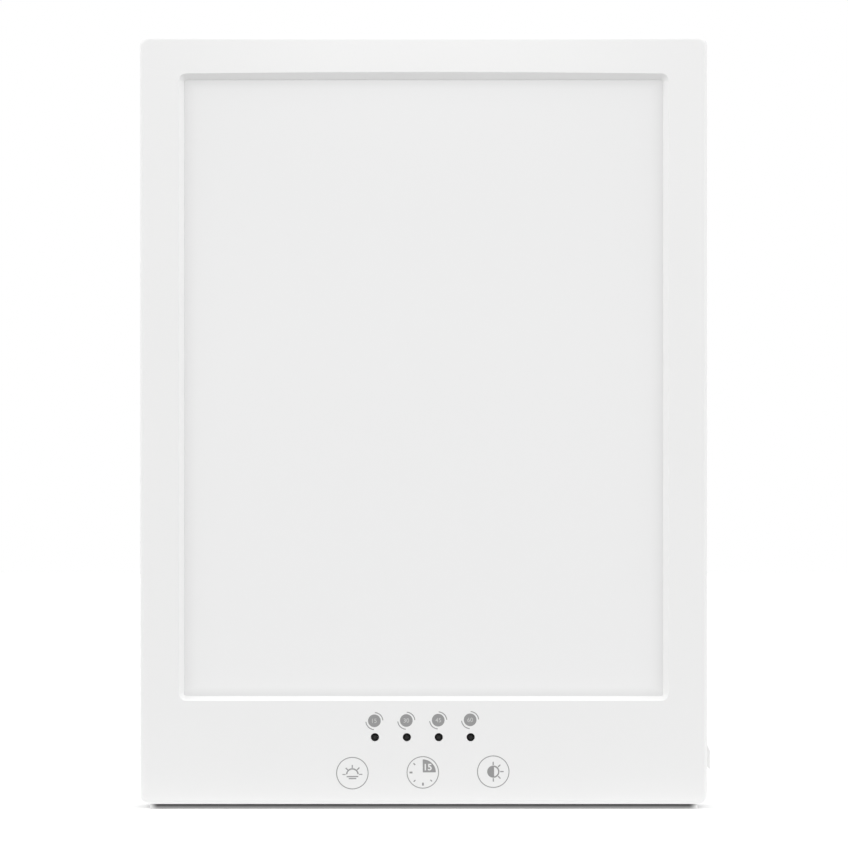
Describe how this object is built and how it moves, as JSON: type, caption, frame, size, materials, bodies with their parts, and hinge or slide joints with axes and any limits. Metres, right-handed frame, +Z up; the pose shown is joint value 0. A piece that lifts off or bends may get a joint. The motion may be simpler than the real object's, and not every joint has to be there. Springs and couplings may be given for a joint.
{
  "type": "light therapy lamp",
  "caption": "Flat upright light panel with a bevelled diffuser window, touch keys and timer lights in its chin, a rocker switch in one side and a fold-out foot behind.",
  "frame": {"origin": "on the table, at the middle of the footprint of the panel and its folded-out foot", "axes": "+X to the right as seen from the front, +Y from the lit face to the back, +Z up"},
  "size_m": [0.237, 0.125, 0.3203],
  "materials": {
    "white_shell": "satin",
    "rocker_white": "gloss",
    "opal_panel": "matte",
    "film": "matte",
    "clear_acrylic": "polished",
    "tray_aluminium": "satin",
    "circuit_white": "gloss",
    "circuit_green": "gloss",
    "led_body": "gloss",
    "led_smoked": "gloss",
    "component_black": "matte",
    "foam": "matte",
    "screw_steel": "zinc plated",
    "foot_rubber": "matte",
    "contact_brass": "satin",
    "cable_grey": "satin"
  },
  "bodies": {
    "housing": {"front_frame": "white_shell", "diffuser_panel": "opal_panel", "diffuser_film": "film", "light_guide": "clear_acrylic", "reflector_sheet": "film", "backlight_tray": "tray_aluminium", "led_bar_right": "circuit_white", "led_bar_left": "circuit_white", "led_chips_right": "led_body", "led_chips_left": "led_body", "control_board": "circuit_green", "board_parts": "component_black", "touch_pad_left": "foam", "touch_pad_centre": "foam", "touch_pad_right": "foam", "indicator_leds": "led_smoked", "led_shield": "component_black", "dc_jack": "component_black", "driver_tape": "foam", "driver_board": "circuit_green", "driver_parts": "component_black", "rear_cover": "white_shell", "housing_screws": "screw_steel", "front_foot_strip": "foot_rubber", "rear_foot_right": "foot_rubber", "rear_foot_left": "foot_rubber", "hinge_pins": "screw_steel", "friction_plates": "screw_steel", "switch_housing": "component_black", "switch_terminals": "contact_brass", "ribbon_cable": "cable_grey", "switch_leads": "cable_grey"},
    "foot": {"stand_foot": "white_shell", "stand_pad_right": "foot_rubber", "stand_pad_left": "foot_rubber"},
    "rocker": {"rocker_cap": "rocker_white"}
  },
  "joints": [
    {"name": "foot_fold", "type": "hinge", "parent": "housing", "child": "foot", "pos_m": [0, -0.0425, 0.008], "axis": [1, 0, 0], "range_deg": [0, 90]},
    {"name": "rocker_tilt", "type": "hinge", "parent": "housing", "child": "rocker", "pos_m": [0.11273, -0.045, 0.02193], "axis": [0, 1, 0], "range_deg": [0, 26]}
  ]
}
